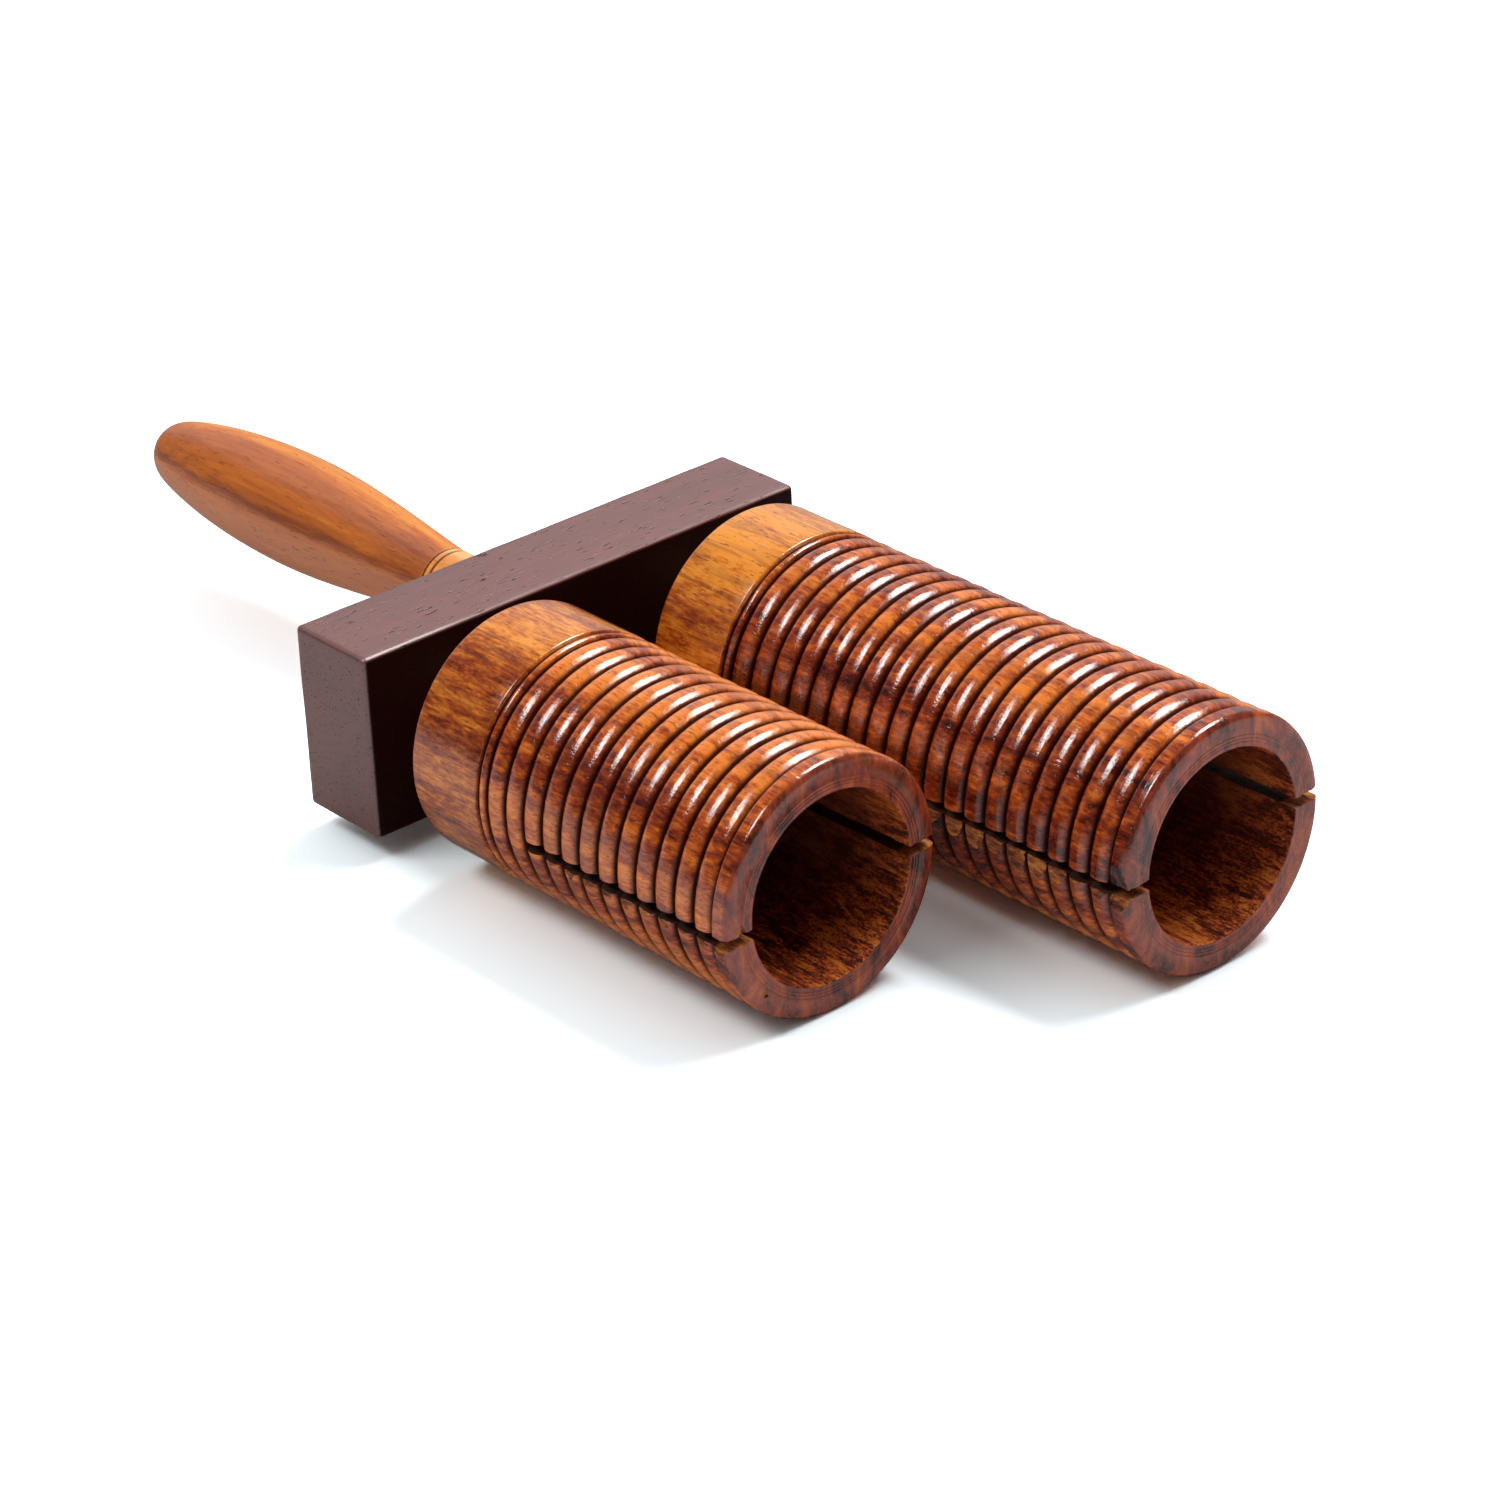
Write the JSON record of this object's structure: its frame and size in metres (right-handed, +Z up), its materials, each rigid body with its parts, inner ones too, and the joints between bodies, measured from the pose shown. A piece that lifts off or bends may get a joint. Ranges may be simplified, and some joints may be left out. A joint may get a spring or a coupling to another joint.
{
  "type": "wooden double agogo",
  "caption": "Wooden agogo: a short and a long ribbed tone tube, each slit at its open mouth, carried on a crossbar with a turned handle, for striking and scraping with a stick.",
  "frame": {"origin": "on the surface it rests on, midway between the handle's tip and the long tube's mouth, and midway between the tubes", "axes": "+X along the tubes, out of their mouths; +Y from the short tube to the long tube; +Z up"},
  "size_m": [0.2788, 0.1084, 0.05],
  "materials": {
    "handle_wood": "golden brown hardwood with darker streaks along its length, satin varnish",
    "crossbar_wood": "dark purplish brown hardwood, fine open pores, satin",
    "dowel_wood": "plain pale hardwood, unvarnished",
    "tube_wood": "reddish brown hardwood with golden streaks, gloss varnish"
  },
  "bodies": {
    "root": {"handle": "handle_wood", "crossbar": "crossbar_wood", "high_dowel": "dowel_wood", "low_dowel": "dowel_wood", "high_tube": "tube_wood", "low_tube": "tube_wood"}
  },
  "joints": []
}
